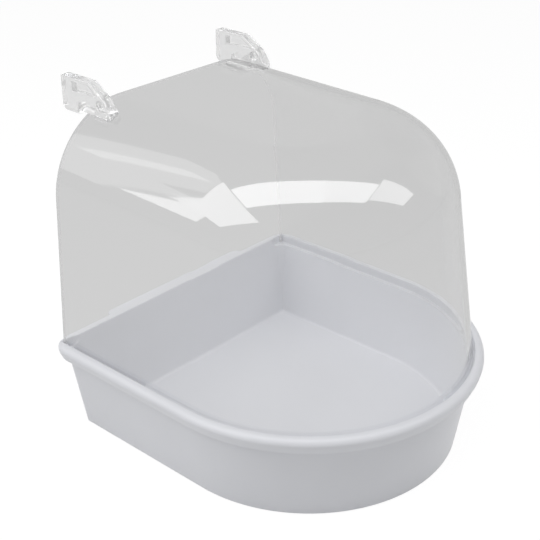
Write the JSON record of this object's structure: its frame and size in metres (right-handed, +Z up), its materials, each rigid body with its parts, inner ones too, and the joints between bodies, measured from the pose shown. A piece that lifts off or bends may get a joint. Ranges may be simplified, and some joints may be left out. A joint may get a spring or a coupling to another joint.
{
  "type": "cage bird bath",
  "caption": "Hanging bath for cage birds: a D-shaped water tray under a clear vaulted hood that is open at the back and hangs on the cage wires by clear hooks.",
  "frame": {"origin": "on the underside of the tray, at the centre of the half circle of its round front", "axes": "+Z up, -Y towards the round front, +Y towards the open back with the hooks, +X to the right of someone who looks along +Y from the front"},
  "size_m": [0.14, 0.156, 0.1407],
  "materials": {
    "tray_plastic": "satin, pale blue-grey, moulded",
    "clear_plastic": "polished, clear with a light grey tint",
    "hook_plastic": "polished, clear"
  },
  "bodies": {
    "tray": {"tray": "tray_plastic"},
    "hood": {"hood": "clear_plastic"},
    "left_hook": {"left_hook": "hook_plastic"},
    "right_hook": {"right_hook": "hook_plastic"}
  },
  "joints": [
    {"name": "hood_lift", "type": "slide", "parent": "tray", "child": "hood", "axis": [0, 0, 1], "range_m": [0, 0.06]},
    {"name": "left_hook_pull", "type": "slide", "parent": "hood", "child": "left_hook", "axis": [0, 0, 1], "range_m": [0, 0.012]},
    {"name": "right_hook_pull", "type": "slide", "parent": "hood", "child": "right_hook", "axis": [0, 0, 1], "range_m": [0, 0.012]}
  ]
}
